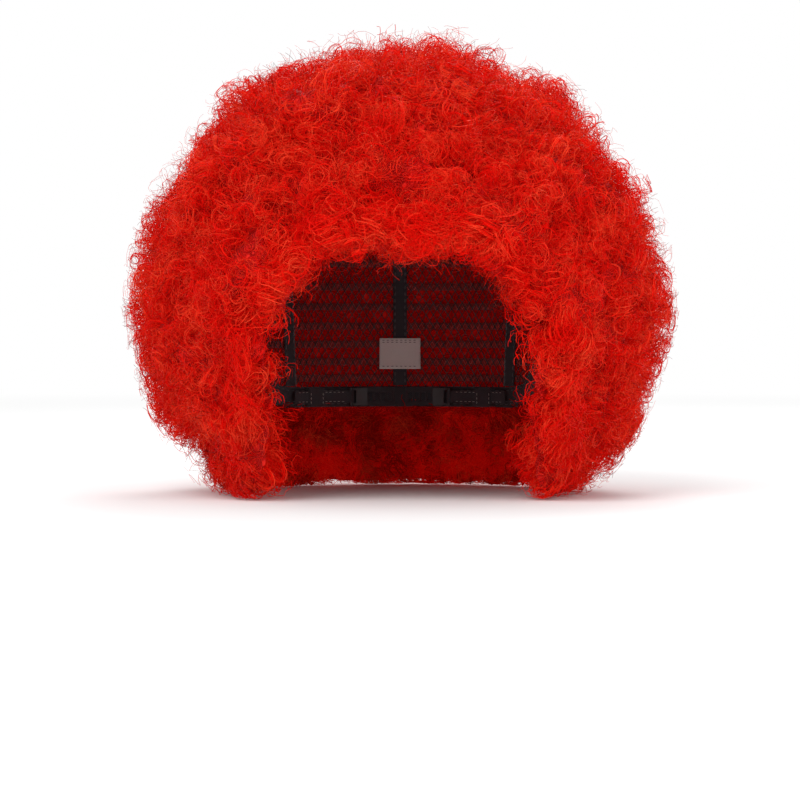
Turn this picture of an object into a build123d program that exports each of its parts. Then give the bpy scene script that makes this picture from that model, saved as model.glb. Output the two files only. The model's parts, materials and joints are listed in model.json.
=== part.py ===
"""A curly costume wig: a wefted elastic cap that carries thirteen bands of bushy hair.

The wig stands as it is worn. +Z is up and the face opening looks along -Y, so the wearer's left is +X.
The origin is under the middle of the bush, on the plane that the lowest hair rests on.

The cap is a dome with a slight taper below it, and the bush of hair is a ball about the same centre.
From the inside outwards the cap is built in layers, each given as a pair of heights above the dome:
lining, elastic ribs, net, weft tracks, hair. The hem bands are as thick as the ribs and the net together.
"""

from build123d import *
import math
import os

# ---------------------------------------------------------------- driving dimensions, in millimetres and degrees

# The dome of the cap, the taper below its centre, and the ball of hair round them.
CENTRE_Z = 110.0
DOME_RADIUS = 90.0
NECK_RADIUS = 84.0
BUSH_RADIUS = 150.0
TAPER = (DOME_RADIUS - NECK_RADIUS) / CENTRE_Z

# The face opening: an arch that runs back from the front to the ear line.
FACE_HALF_WIDTH = 70.0
FACE_TOP_Z = 130.0
FACE_SHOULDER_HALF_WIDTH = 44.0
FACE_SHOULDER_Z = 95.0
FACE_CORNER_RADIUS = 18.0
FRINGE_BACK_Y = -60.0
FRINGE_LOW_ANGLE = -7.0

# The fringe stands proud of the ball, just enough that the bush is as deep in front as behind.
FRINGE_RADIUS = math.hypot(BUSH_RADIUS, FACE_TOP_Z - CENTRE_Z)

# Layers of the cap, as heights above the dome.
LINING = (0.3, 1.1)
RIB = (1.4, 2.0)
NET = (2.2, 2.8)
BAND = (1.4, 3.4)
TRACK = (3.6, 4.8)
HAIR_ROOT = 5.4

# The hem, seen from the side as (y, z).
HEM_POINTS = [(-140, 152), (-66, 152), (-50, 101), (18, 101), (46, 50), (60, 46), (140, 46)]
TEMPLE_STRETCH = (1, 2)
BEHIND_EAR_STRETCH = (3, 4)
HEM_CORNER_RADIUS = 8.0
BAND_WIDTH = 12.0
BAND_JOIN_Y = -6.0
SEAM_GAP = 0.3
LINING_INSET = 1.0

# Wefts, by their angle above the level of the centre. No band of hair may straddle that level.
TRACK_ANGLES = [-30, -24, -17.5, -10.8, -3.6, 3.6, 12, 21.5, 31.5, 42, 53, 66]
TRACK_HEIGHT = 4.0
TRACK_END_MARGIN = 6.0
OPEN_TRACKS = 8
FRINGE_TRACK_ANGLE = 27.5
FRINGE_TRACK_HALF_ARC = 40.0
ROW_GAP = 0.12

RIB_WIDTH = 8.0
RIB_NAMES = ["left", "back_left", "back", "back_right", "right", "front_right", "front", "front_left"]
CROWN_RADIUS = 17.0

# Ear tabs: flat flaps that hang from the hem, each with a rounded top that turns about the hinge.
TAB_ANGLE = 22.0
TAB_WIDTH = 20.0
TAB_HINGE_Z = 99.5
TAB_LENGTH = 24.0
TAB_THICKNESS = 2.0
TAB_CORNER_RADIUS = 7.0

# Adjusters inside the nape band. Their angles run from the middle of the back towards either side.
ADJUST_Z = 52.0
TAPE_RADII = (86.7, 87.7)
TAPE_ANGLES = (2.0, 16.5)
TAPE_HEIGHT = 11.0
SLOT_COUNT = 5
SLOT_PITCH = 2.5
FIRST_SLOT_ANGLE = 14.0
SLOT_WIDTH = 2.5
SLOT_HEIGHT = 5.0
STRAP_RADII = (83.6, 84.4)
STRAP_END_ANGLE = 46.0
STRAP_HEIGHT = 7.2
HOOK_RADII = (83.4, 84.6)
HOOK_PLATE_ANGLES = (13.2, 17.8)
HOOK_HEIGHT = 10.0
HOOK_ARM_HEIGHT = 1.2
PIVOT_ANGLE = 19.8
PIVOT_RADIUS = 84.0
PIVOT_PIN_RADIUS = 0.55
STRAP_EYE_RADII = (0.65, 1.3)
PEG_REACH = 86.5
PEG_WIDTH = 1.2
PEG_HEIGHT = 3.6
SLEEVE_RADII = (82.6, 87.9)
SLEEVE_ANGLES = (32.0, 39.0)
SLEEVE_HEIGHT = 11.0
SLEEVE_CLEARANCE = 0.35

# Care label, sewn by its top edge inside the back of the cap.
LABEL_WIDTH = 24.0
LABEL_HEIGHT = 18.0
LABEL_THICKNESS = 0.5
LABEL_TOP = (88.3, 86.0)

# Longer than anything here, for cutters.
FAR = 300.0


# ---------------------------------------------------------------- shared forms


def dome_radius(z, height=0.0):
    """The dome's or the taper's radius at z, at a height above its surface."""
    if z >= CENTRE_Z:
        return math.sqrt((DOME_RADIUS + height) ** 2 - (z - CENTRE_Z) ** 2)
    return DOME_RADIUS + height - TAPER * (CENTRE_Z - z)


def on_dome(angle, height=0.0):
    """The point of the dome or taper seen from the centre at this angle, as (outwards, up)."""
    if angle >= 0:
        return ball_point(DOME_RADIUS + height, angle)
    fall = math.tan(math.radians(-angle))
    outwards = (DOME_RADIUS + height) / (1 + TAPER * fall)
    return outwards, CENTRE_Z - outwards * fall


def ball_point(radius, angle):
    """The point of a ball about the centre at this angle above its level, as (outwards, up)."""
    a = math.radians(angle)
    return round(radius * math.cos(a), 9), CENTRE_Z + radius * math.sin(a)


def dome(height):
    """The dome and its taper as a solid, grown by a height."""
    widest = DOME_RADIUS + height
    with BuildPart() as form:
        with BuildSketch(Plane.XZ):
            with BuildLine():
                ThreePointArc(ball_point(widest, 0), ball_point(widest, 45), ball_point(widest, 90))
                Polyline((0, CENTRE_Z + widest), (0, 0), (dome_radius(0, height), 0), (widest, CENTRE_Z))
            make_face()
        revolve(axis=Axis.Z)
    return form.part


def shell(layer):
    """The sheet of the cap between two heights above the dome."""
    inside = dome(layer[0])
    with BuildPart() as sheet:
        add(dome(layer[1]))
        add(inside, mode=Mode.SUBTRACT)
    return sheet.part


def hem_region(inset):
    """Everything above the hem, drawn from the side and run through the whole width, less inset along the hem."""
    with BuildPart() as region:
        with BuildSketch(Plane.YZ.offset(-FAR)):
            with BuildLine():
                hem = FilletPolyline(*HEM_POINTS, radius=HEM_CORNER_RADIUS)
                Polyline(hem @ 1, (HEM_POINTS[-1][0], FAR), (HEM_POINTS[0][0], FAR), hem @ 0)
            make_face()
            if inset:
                offset(amount=-inset)
        extrude(amount=2 * FAR)
    return region.part


def hem_strip(inset, width):
    """The strip that runs along the hem, from inset to inset + width."""
    inner = hem_region(inset + width)
    with BuildPart() as strip:
        add(hem_region(inset))
        add(inner, mode=Mode.SUBTRACT)
    return strip.part


def upright_plane(azimuth):
    """The upright plane through the Z axis at this azimuth. Its x runs outwards and its y runs up."""
    a = math.radians(azimuth)
    return Plane(origin=(0, 0, 0), x_dir=(math.cos(a), math.sin(a), 0), z_dir=(math.sin(a), -math.cos(a), 0))


def block(x_range, y_range, z_range):
    """A box from its three ranges."""
    middles = [(low + high) / 2 for low, high in (x_range, y_range, z_range)]
    sizes = [high - low for low, high in (x_range, y_range, z_range)]
    with BuildPart() as box:
        with Locations(tuple(middles)):
            Box(*sizes)
    return box.part


def save(part, name):
    """Labels one finished piece and writes it as parts/NAME.step."""
    part.label = name
    export_step(part, f"parts/{name}.step")


os.makedirs("parts", exist_ok=True)


# ---------------------------------------------------------------- the cap: net, crown, bands, lining and ribs


def crown_cutter(radius):
    """An upright cylinder over the top of the dome."""
    with BuildPart() as cutter:
        with Locations((0, 0, CENTRE_Z + DOME_RADIUS)):
            Cylinder(radius, DOME_RADIUS)
    return cutter.part


def make_net():
    above_bands = hem_region(BAND_WIDTH + SEAM_GAP)
    crown_hole = crown_cutter(CROWN_RADIUS + SEAM_GAP)
    sheet = shell(NET)
    with BuildPart() as net:
        add(sheet)
        add(above_bands, mode=Mode.INTERSECT)
        add(crown_hole, mode=Mode.SUBTRACT)
    save(net.part, "cap_net")


def make_crown_patch():
    disc = crown_cutter(CROWN_RADIUS)
    sheet = shell((RIB[0], NET[1]))
    with BuildPart() as patch:
        add(sheet)
        add(disc, mode=Mode.INTERSECT)
    save(patch.part, "crown_patch")


def make_hem_piece(name, layer, strip, y_range):
    """One length of tape along the hem, kept between two planes across the cap."""
    sheet = shell(layer)
    length = block((-FAR, FAR), y_range, (0, FAR))
    with BuildPart() as tape:
        add(sheet)
        add(strip, mode=Mode.INTERSECT)
        add(length, mode=Mode.INTERSECT)
    save(tape.part, name)


def make_ribs():
    above_bands = hem_region(BAND_WIDTH + SEAM_GAP)
    crown_hole = crown_cutter(CROWN_RADIUS + SEAM_GAP)
    sheet = shell(RIB)
    for number, name in enumerate(RIB_NAMES):
        azimuth = 360 / len(RIB_NAMES) * number
        with BuildPart() as spoke:
            with Locations(Location((0, 0, CENTRE_Z), (0, 0, azimuth))):
                with Locations((CROWN_RADIUS / 2, 0, 0)):
                    Box(FAR, RIB_WIDTH, FAR, align=(Align.MIN, Align.CENTER, Align.CENTER))
        with BuildPart() as rib:
            add(sheet)
            add(spoke.part, mode=Mode.INTERSECT)
            add(above_bands, mode=Mode.INTERSECT)
            add(crown_hole, mode=Mode.SUBTRACT)
        save(rib.part, f"rib_{name}")


# ---------------------------------------------------------------- weft tracks


def make_track(name, angle, start, arc):
    """A sewn track: a thin tape round the outside of the cap, from azimuth start through arc degrees."""
    half = math.degrees(TRACK_HEIGHT / 2 / DOME_RADIUS)
    corners = [
        on_dome(angle - half, TRACK[0]),
        on_dome(angle - half, TRACK[1]),
        on_dome(angle + half, TRACK[1]),
        on_dome(angle + half, TRACK[0]),
    ]
    with BuildPart() as track:
        with BuildSketch(upright_plane(start)):
            with BuildLine():
                Polyline(*corners, close=True)
            make_face()
        revolve(axis=Axis.Z, revolution_arc=arc)
    save(track.part, name)


def track_front(z):
    """How far forward an open track reaches: the y where the hem crosses its height, less a margin."""
    first, last = TEMPLE_STRETCH if z > HEM_POINTS[TEMPLE_STRETCH[1]][1] else BEHIND_EAR_STRETCH
    (y0, z0), (y1, z1) = HEM_POINTS[first], HEM_POINTS[last]
    return y0 + (z - z0) / (z1 - z0) * (y1 - y0) + TRACK_END_MARGIN


def make_tracks():
    for number, angle in enumerate(TRACK_ANGLES, start=1):
        start, arc = 0.0, 360.0
        if number <= OPEN_TRACKS:
            outwards, z = on_dome(angle)
            start = math.degrees(math.asin(track_front(z) / outwards))
            arc = 180.0 - 2 * start
        make_track(f"weft_track_{number:02d}", angle, start, arc)
    make_track("fringe_track", FRINGE_TRACK_ANGLE, 270 - FRINGE_TRACK_HALF_ARC, 2 * FRINGE_TRACK_HALF_ARC)


# ---------------------------------------------------------------- hair


def hair_ring(low, high, radius=BUSH_RADIUS):
    """All the hair between two angles above the level of the centre, out to a radius."""
    with BuildPart() as ring:
        with BuildSketch(upright_plane(270)):
            with BuildLine():
                outside = [ball_point(radius, angle) for angle in (low, (low + high) / 2, high)]
                inside = [on_dome(angle, HAIR_ROOT) for angle in (low, (low + high) / 2, high)]
                ThreePointArc(*outside)
                Line(inside[0], outside[0])
                Line(outside[2], inside[2])
                if low >= 0:
                    ThreePointArc(*inside)
                else:
                    Line(inside[2], inside[0])
            make_face()
        revolve(axis=Axis.Z)
    return ring.part


def foot_ring(high):
    """The lowest hair, from the resting plane up to an angle."""
    foot_angle = -math.degrees(math.asin(CENTRE_Z / BUSH_RADIUS))
    outside = [ball_point(BUSH_RADIUS, angle) for angle in (foot_angle, (foot_angle + high) / 2, high)]
    inside = [(dome_radius(0, HAIR_ROOT), 0), on_dome(high, HAIR_ROOT)]
    with BuildPart() as ring:
        with BuildSketch(upright_plane(270)):
            with BuildLine():
                ThreePointArc((outside[0][0], 0), *outside[1:])
                Polyline(outside[2], inside[1], inside[0], (outside[0][0], 0))
            make_face()
        revolve(axis=Axis.Z)
    return ring.part


def make_face_arch():
    """The room in front of the face: an arch that runs forward from the ear line."""
    side = [
        (FACE_HALF_WIDTH, -FAR),
        (FACE_HALF_WIDTH, FACE_SHOULDER_Z),
        (FACE_SHOULDER_HALF_WIDTH, FACE_TOP_Z),
    ]
    with BuildPart() as face:
        with BuildSketch(Plane.XZ):
            with BuildLine():
                arch = FilletPolyline(*side, *[(-x, z) for x, z in reversed(side)], radius=FACE_CORNER_RADIUS)
                Line(arch @ 1, arch @ 0)
            make_face()
        extrude(amount=FAR)
    return face.part


def make_hair():
    arch = make_face_arch()
    limits = [None] + [(low + high) / 2 for low, high in zip(TRACK_ANGLES, TRACK_ANGLES[1:])] + [90.0]
    half_gap = ROW_GAP / 2
    front = block((-FACE_HALF_WIDTH, FACE_HALF_WIDTH), (-FAR, FRINGE_BACK_Y), (-FAR, FAR))
    for number in range(1, len(TRACK_ANGLES) + 1):
        high = limits[number] - (half_gap if number < len(TRACK_ANGLES) else 0)
        ring = foot_ring(high) if number == 1 else hair_ring(limits[number - 1] + half_gap, high)
        with BuildPart() as row:
            add(ring)
            if number <= OPEN_TRACKS:
                add(front, mode=Mode.SUBTRACT)
                add(arch, mode=Mode.SUBTRACT)
        save(row.part, f"hair_row_{number:02d}")

    side = FACE_HALF_WIDTH - SEAM_GAP
    over_face = block((-side, side), (-FAR, FRINGE_BACK_Y - SEAM_GAP), (FACE_SHOULDER_Z - FAR, FAR))
    with BuildPart() as fringe:
        add(hair_ring(FRINGE_LOW_ANGLE, 0, FRINGE_RADIUS))
        add(hair_ring(0, limits[OPEN_TRACKS] - half_gap, FRINGE_RADIUS))
        add(over_face, mode=Mode.INTERSECT)
        add(arch, mode=Mode.SUBTRACT)
    save(fringe.part, "hair_fringe")


# ---------------------------------------------------------------- ear tabs


def tab_azimuth(side):
    """The azimuth of an ear tab, on the left for side +1 and on the right for side -1."""
    return -TAB_ANGLE if side > 0 else 180 + TAB_ANGLE


def make_ear_tab(name, side):
    """A rounded flap in front of the ear. Its top edge is half round, about the hinge line."""
    middle = dome_radius(TAB_HINGE_Z, (BAND[0] + BAND[1]) / 2)
    a = math.radians(tab_azimuth(side))
    face = Plane(
        origin=(middle * math.cos(a), middle * math.sin(a), TAB_HINGE_Z),
        x_dir=(-math.sin(a), math.cos(a), 0),
        z_dir=(math.cos(a), math.sin(a), 0),
    )
    with BuildPart() as tab:
        with BuildSketch(face.offset(-TAB_THICKNESS / 2)) as flap:
            with Locations((0, -TAB_LENGTH / 2)):
                Rectangle(TAB_WIDTH, TAB_LENGTH)
            fillet(flap.vertices().group_by(Axis.Z)[0], radius=TAB_CORNER_RADIUS)
        extrude(amount=TAB_THICKNESS)
        with Locations(face.location * Location((0, 0, 0), (0, 90, 0))):
            Cylinder(TAB_THICKNESS / 2, TAB_WIDTH)
    save(tab.part, name)


# ---------------------------------------------------------------- nape adjusters


def arc_bar(radii, angles, height, side):
    """A curved bar about the Z axis, on the left for side +1 and on the right for side -1."""
    start = 90 - angles[1] if side > 0 else 90 + angles[0]
    with BuildPart() as bar:
        with BuildSketch(upright_plane(start)):
            with Locations(((radii[0] + radii[1]) / 2, ADJUST_Z)):
                Rectangle(radii[1] - radii[0], height)
        revolve(axis=Axis.Z, revolution_arc=angles[1] - angles[0])
    return bar.part


def on_arc(radius, angle, side, height_above=0.0):
    """A place beside the nape, turned so that its own x runs outwards."""
    azimuth = 90 - side * angle
    a = math.radians(azimuth)
    return Location((radius * math.cos(a), radius * math.sin(a), ADJUST_Z + height_above), (0, 0, azimuth))


def make_slot_tape(name, side):
    """The tape behind the nape, with a row of slots that the hook's peg drops into."""
    bar = arc_bar(TAPE_RADII, TAPE_ANGLES, TAPE_HEIGHT, side)
    places = [on_arc(TAPE_RADII[0], FIRST_SLOT_ANGLE - SLOT_PITCH * i, side) for i in range(SLOT_COUNT)]
    with BuildPart() as tape:
        add(bar)
        with Locations(*places):
            Box(4 * (TAPE_RADII[1] - TAPE_RADII[0]), SLOT_WIDTH, SLOT_HEIGHT, mode=Mode.SUBTRACT)
    save(tape.part, name)


def make_strap(name, side):
    """The elastic strap, with a sewn eye at its leading end that the hook's pin turns in."""
    ribbon = arc_bar(STRAP_RADII, (PIVOT_ANGLE, STRAP_END_ANGLE), STRAP_HEIGHT, side)
    pivot = on_arc(PIVOT_RADIUS, PIVOT_ANGLE, side)
    with BuildPart() as strap:
        add(ribbon)
        with Locations(pivot):
            Cylinder(STRAP_EYE_RADII[1], STRAP_HEIGHT)
            Cylinder(STRAP_EYE_RADII[0], STRAP_HEIGHT, mode=Mode.SUBTRACT)
    save(strap.part, name)


def make_hook(name, side):
    """The flat plastic hook: a plate with a peg, and two arms that hold a pin through the strap's eye."""
    plate = arc_bar(HOOK_RADII, HOOK_PLATE_ANGLES, HOOK_HEIGHT, side)
    arm = arc_bar(HOOK_RADII, (HOOK_PLATE_ANGLES[0], PIVOT_ANGLE), HOOK_ARM_HEIGHT, side)
    arm_level = (HOOK_HEIGHT - HOOK_ARM_HEIGHT) / 2
    with BuildPart() as hook:
        add(plate)
        for level in (-arm_level, arm_level):
            add(arm.moved(Location((0, 0, level))))
            with Locations(on_arc(PIVOT_RADIUS, PIVOT_ANGLE, side, level)):
                Cylinder(STRAP_EYE_RADII[1], HOOK_ARM_HEIGHT)
        with Locations(on_arc(PIVOT_RADIUS, PIVOT_ANGLE, side)):
            Cylinder(PIVOT_PIN_RADIUS, HOOK_HEIGHT - HOOK_ARM_HEIGHT)
        with Locations(on_arc(PIVOT_RADIUS, FIRST_SLOT_ANGLE, side)):
            Box(PEG_REACH - PIVOT_RADIUS, PEG_WIDTH, PEG_HEIGHT, align=(Align.MIN, Align.CENTER, Align.CENTER))
    save(hook.part, name)


def make_sleeve(name, side):
    """The sewn sleeve that the strap slides through."""
    wall = arc_bar(SLEEVE_RADII, SLEEVE_ANGLES, SLEEVE_HEIGHT, side)
    clear = SLEEVE_CLEARANCE
    passage = arc_bar(
        (STRAP_RADII[0] - clear, STRAP_RADII[1] + clear),
        (SLEEVE_ANGLES[0] - 1, SLEEVE_ANGLES[1] + 1),
        STRAP_HEIGHT + 2 * clear,
        side,
    )
    with BuildPart() as sleeve:
        add(wall)
        add(passage, mode=Mode.SUBTRACT)
    save(sleeve.part, name)


# ---------------------------------------------------------------- care label


def make_label():
    """A blank woven label, lying along the inside of the back."""
    tilt = math.atan(TAPER)
    y = LABEL_TOP[0] - LABEL_HEIGHT / 2 * math.sin(tilt)
    z = LABEL_TOP[1] - LABEL_HEIGHT / 2 * math.cos(tilt)
    with BuildPart() as label:
        with Locations(Location((0, y, z), (-math.degrees(tilt), 0, 0))):
            Box(LABEL_WIDTH, LABEL_THICKNESS, LABEL_HEIGHT)
    save(label.part, "care_label")


# ---------------------------------------------------------------- build everything

make_net()
make_crown_patch()
band_strip = hem_strip(0, BAND_WIDTH)
lining_strip = hem_strip(LINING_INSET, BAND_WIDTH - 2 * LINING_INSET)
make_hem_piece("front_band", BAND, band_strip, (-FAR, BAND_JOIN_Y - SEAM_GAP))
make_hem_piece("nape_band", BAND, band_strip, (BAND_JOIN_Y + SEAM_GAP, FAR))
make_hem_piece("forehead_lining", LINING, lining_strip, (-FAR, HEM_POINTS[2][0]))
make_ribs()
make_tracks()
make_hair()
for side_name, side_way in (("left", 1), ("right", -1)):
    make_ear_tab(f"ear_tab_{side_name}", side_way)
    make_slot_tape(f"slot_tape_{side_name}", side_way)
    make_strap(f"adjuster_strap_{side_name}", side_way)
    make_hook(f"strap_hook_{side_name}", side_way)
    make_sleeve(f"strap_sleeve_{side_name}", side_way)
make_label()
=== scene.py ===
"""The looks of the curly costume wig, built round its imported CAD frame."""

import json
import math

import bmesh
import bpy
import numpy as np
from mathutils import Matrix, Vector, noise


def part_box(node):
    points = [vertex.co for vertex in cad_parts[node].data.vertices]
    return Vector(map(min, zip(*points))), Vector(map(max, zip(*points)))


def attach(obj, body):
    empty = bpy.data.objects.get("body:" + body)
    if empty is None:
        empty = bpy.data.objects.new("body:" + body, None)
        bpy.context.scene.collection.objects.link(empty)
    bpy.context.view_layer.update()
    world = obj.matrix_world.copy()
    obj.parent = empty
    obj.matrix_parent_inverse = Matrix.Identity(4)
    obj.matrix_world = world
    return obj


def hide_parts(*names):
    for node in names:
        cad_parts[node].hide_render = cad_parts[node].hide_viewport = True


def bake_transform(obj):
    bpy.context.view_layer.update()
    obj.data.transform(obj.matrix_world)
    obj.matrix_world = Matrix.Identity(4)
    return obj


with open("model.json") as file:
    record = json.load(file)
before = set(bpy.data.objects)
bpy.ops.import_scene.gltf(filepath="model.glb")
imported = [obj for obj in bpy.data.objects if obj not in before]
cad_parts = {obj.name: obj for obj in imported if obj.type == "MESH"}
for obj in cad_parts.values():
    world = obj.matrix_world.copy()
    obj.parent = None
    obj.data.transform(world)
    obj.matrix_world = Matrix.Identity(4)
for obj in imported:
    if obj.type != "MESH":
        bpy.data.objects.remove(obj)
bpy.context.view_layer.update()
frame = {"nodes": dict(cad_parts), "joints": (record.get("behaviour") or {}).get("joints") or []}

MM = 0.001
TAU = 2 * math.pi

# The CAD's driving dimensions, in millimetres and degrees.
CENTRE = np.array([0.0, 0.0, 110.0])  # the middle of the cap's dome and of the bush
DOME_RADIUS = 90.0  # the cap's inner face
TAPER = 6.0 / 110.0  # how much the cap narrows for each millimetre below its middle
BUSH_RADIUS = 150.0
HAIR_ROOT = 5.4  # where the hair starts, above the cap's inner face
FACE_HALF_WIDTH = 70.0
FACE_TOP_Z = 130.0
SHOULDER = (44.0, 95.0)  # x where the opening's top edge turns down, and z where its wall begins
FRINGE_BACK_Y = -60.0
FRINGE_TOP_ANGLE = 26.5
FRINGE_TRACK_ANGLE = 27.5
FRINGE_TRACK_TURN = (230, 310)
# The wefts, from the nape to the crown, by their angles above the dome's middle.
TRACK_ANGLES = [-30, -24, -17.5, -10.8, -3.6, 3.6, 12, 21.5, 31.5, 42, 53, 66]
TRACK_HALF_WIDTH = 2.0
OPEN_ROWS = 8  # how many wefts, from the nape up, stop at the face opening
HEM = [(-140, 152), (-66, 152), (-50, 101), (18, 101), (46, 50), (60, 46), (140, 46)]  # (y, z)
HEM_CORNER = 8.0
BAND_WIDTH = 12.0
BAND_JOIN_Y = -6.0
RIB_HALF_WIDTH = 4.0
CROWN_RADIUS = 17.3
STRAP_Z = 52.0
STRAP_FACE_RADIUS = 83.56  # the inner face of an adjuster's strap
SLEEVE_FACE_RADIUS = 82.55
SLEEVE_EDGES = (32.6, 38.4)  # degrees from the middle of the nape

# The layers of the cap's cloth, as heights above the dome.
LINING_LAYER = (0.3, 1.1)
RIB_LAYER = (1.3, 2.0)
NET_HEIGHT = 2.5
WEFT_LAYER = (3.6, 4.8)
ZIGZAG_HEIGHT = 3.5
RIB_STITCH_HEIGHT = 1.25
BAND_STITCH_HEIGHT = 1.35

ROW_LIMITS = [-90.0] + [(a + b) / 2 for a, b in zip(TRACK_ANGLES, TRACK_ANGLES[1:])] + [90.0]
FOOT_ANGLE = -math.degrees(math.asin(CENTRE[2] / BUSH_RADIUS))
HAIR_ROWS = [f"hair_row_{number:02d}" for number in range(1, len(TRACK_ANGLES) + 1)]
HAIR_NODES = ["hair_fringe"] + HAIR_ROWS

rng = np.random.default_rng(11)


def linked(name, data):
    """A new object in the scene."""
    piece = bpy.data.objects.new(name, data)
    bpy.context.scene.collection.objects.link(piece)
    return piece


def assign(piece, body, node=None):
    """Puts a piece on a body, perhaps in place of a CAD node."""
    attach(piece, body)
    if node:
        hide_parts(node)


def unit(v):
    return v / np.maximum(np.linalg.norm(v, axis=-1, keepdims=True), 1e-12)


def noise_at(points, scale):
    """Smooth noise from -1 to 1 at each point."""
    return np.array([noise.noise(Vector(p * scale)) for p in points])


def run_length(line):
    """How far along a line of points each point is."""
    return np.concatenate([[0], np.cumsum(np.linalg.norm(np.diff(line, axis=0), axis=1))])


# ---------------- node materials


class Nodes:
    """A material's node tree, with short calls to add nodes and links."""

    def __init__(self, name):
        self.material = bpy.data.materials.new(name)
        self.material.use_nodes = True
        self.tree = self.material.node_tree
        self.shader = self.tree.nodes["Principled BSDF"]

    def add(self, kind, inputs=None, **settings):
        node = self.tree.nodes.new(kind)
        for key, value in settings.items():
            setattr(node, key, value)
        for key, value in (inputs or {}).items():
            self.put(node.inputs[key], value)
        return node

    def put(self, socket, value):
        if isinstance(value, bpy.types.NodeSocket):
            self.tree.links.new(value, socket)
        else:
            socket.default_value = value

    def set(self, **inputs):
        for key, value in inputs.items():
            self.put(self.shader.inputs[key.replace("_", " ")], value)

    def position(self):
        return self.add("ShaderNodeTexCoord").outputs["Object"]

    def noise(self, scale, detail=3.0, rough=0.55):
        node = self.add("ShaderNodeTexNoise", {"Scale": scale, "Detail": detail, "Roughness": rough})
        self.put(node.inputs["Vector"], self.position())
        return node.outputs["Fac"]

    def math(self, operation, a, b=0.0):
        node = self.add("ShaderNodeMath", operation=operation)
        self.put(node.inputs[0], a)
        self.put(node.inputs[1], b)
        return node.outputs[0]

    def ramp(self, factor, stops):
        node = self.add("ShaderNodeValToRGB", {"Fac": factor})
        elements = node.color_ramp.elements
        while len(elements) < len(stops):
            elements.new(0.5)
        for element, (at, colour) in zip(elements, stops):
            element.position = at
            element.color = (*colour, 1.0)
        return node.outputs["Color"]

    def mix(self, factor, a, b):
        """The colour from a to b by a factor: a Mix node's colours are its inputs 6 and 7 and its output 2."""
        node = self.add("ShaderNodeMix", {0: factor, 6: (*a, 1.0), 7: (*b, 1.0)}, data_type="RGBA")
        return node.outputs[2]

    def bump(self, height, strength, distance):
        node = self.add("ShaderNodeBump", {"Height": height, "Strength": strength, "Distance": distance})
        self.put(self.shader.inputs["Normal"], node.outputs["Normal"])


def hair_material(name, dark, middle, light, lift):
    """Crimped synthetic hair: a tone for each strand, with patches of tone across the bush.

    lift is a little red light of its own, which stands for light scattered from strand to strand.
    """
    m = Nodes(name)
    # shade is each point's tone: random for each strand and, on most strands, growing lighter from root to
    # tip, so that the roots deep in the bush are painted in shade.
    shade = m.add("ShaderNodeAttribute", attribute_name="shade").outputs["Fac"]
    patch = m.noise(38.0, 2.0)
    fine = m.noise(900.0, 2.0)
    tone = m.math("ADD", m.math("MULTIPLY", shade, 0.62), m.math("MULTIPLY", patch, 0.38))
    tone = m.math("ADD", tone, m.math("MULTIPLY", m.math("SUBTRACT", fine, 0.5), 0.25))
    # The lightest, orange stop is a painted highlight, standing in for the weak specular set below.
    colour = m.ramp(tone, [(0.12, dark), (0.48, middle), (0.85, light)])
    m.set(Base_Color=colour, Roughness=0.48)
    m.set(Specular_IOR_Level=0.12, Specular_Tint=(1.0, 0.34, 0.20, 1.0), Anisotropic=0.5)
    m.set(Emission_Color=(0.75, 0.004, 0.002, 1.0), Emission_Strength=lift)
    m.bump(m.noise(2400.0, 2.0), 0.25, 0.0002)
    return m.material


def mass_material():
    """The dense hair behind the curls: rings of strands round scattered curl centres."""
    m = Nodes("hair_mass")
    place = m.position()
    bend = m.add("ShaderNodeTexNoise", {"Scale": 90.0, "Detail": 2.0, "Vector": place}).outputs["Color"]
    reach = (0.006, 0.006, 0.006)
    shift = m.add("ShaderNodeVectorMath", {0: bend, 1: reach}, operation="MULTIPLY").outputs[0]
    bent = m.add("ShaderNodeVectorMath", {0: place, 1: shift}, operation="ADD").outputs[0]
    cells = m.add("ShaderNodeTexVoronoi", {"Scale": 95.0, "Vector": bent})
    rings = m.math("SINE", m.math("MULTIPLY", cells.outputs["Distance"], 46.0))
    strand = m.math("ADD", m.math("MULTIPLY", rings, 0.5), 0.5)
    patch = m.noise(45.0, 2.0)
    tone = m.math("ADD", m.math("MULTIPLY", strand, 0.55), m.math("MULTIPLY", patch, 0.45))
    dark, middle, light = (0.44, 0.001, 0.0005), (0.60, 0.003, 0.002), (0.74, 0.016, 0.008)
    colour = m.ramp(tone, [(0.1, dark), (0.5, middle), (0.9, light)])
    m.set(Base_Color=colour, Roughness=0.6, Specular_IOR_Level=0.15)
    # A faint red glow of its own: painted light that stands for light scattered through the hair, lifting its
    # shade.
    m.set(Emission_Color=(0.75, 0.002, 0.001, 1.0), Emission_Strength=0.06)
    m.bump(strand, 1.0, 0.0016)
    return m.material


def woven_material(name, base, light, pitch, rough=0.75, sheen=0.25, wear=0.3):
    """Woven cloth or elastic: threads that cross at a pitch in metres, uneven dye and rubbed high places."""
    m = Nodes(name)
    uv = m.add("ShaderNodeUVMap", uv_map="Weave").outputs["UV"]
    split = m.add("ShaderNodeSeparateXYZ", {"Vector": uv})
    along = m.math("SINE", m.math("MULTIPLY", split.outputs[0], TAU / (pitch / MM)))
    across = m.math("SINE", m.math("MULTIPLY", split.outputs[1], TAU / (pitch / MM)))
    weave = m.math("MULTIPLY", m.math("ADD", m.math("MULTIPLY", along, across), 1.0), 0.5)
    patch = m.noise(160.0, 4.0)
    tone = m.math("ADD", m.math("MULTIPLY", weave, 0.6), m.math("MULTIPLY", patch, wear))
    m.set(Base_Color=m.mix(tone, base, light), Roughness=rough, Sheen_Weight=sheen)
    m.bump(weave, 0.6, 0.00025)
    return m.material


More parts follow.
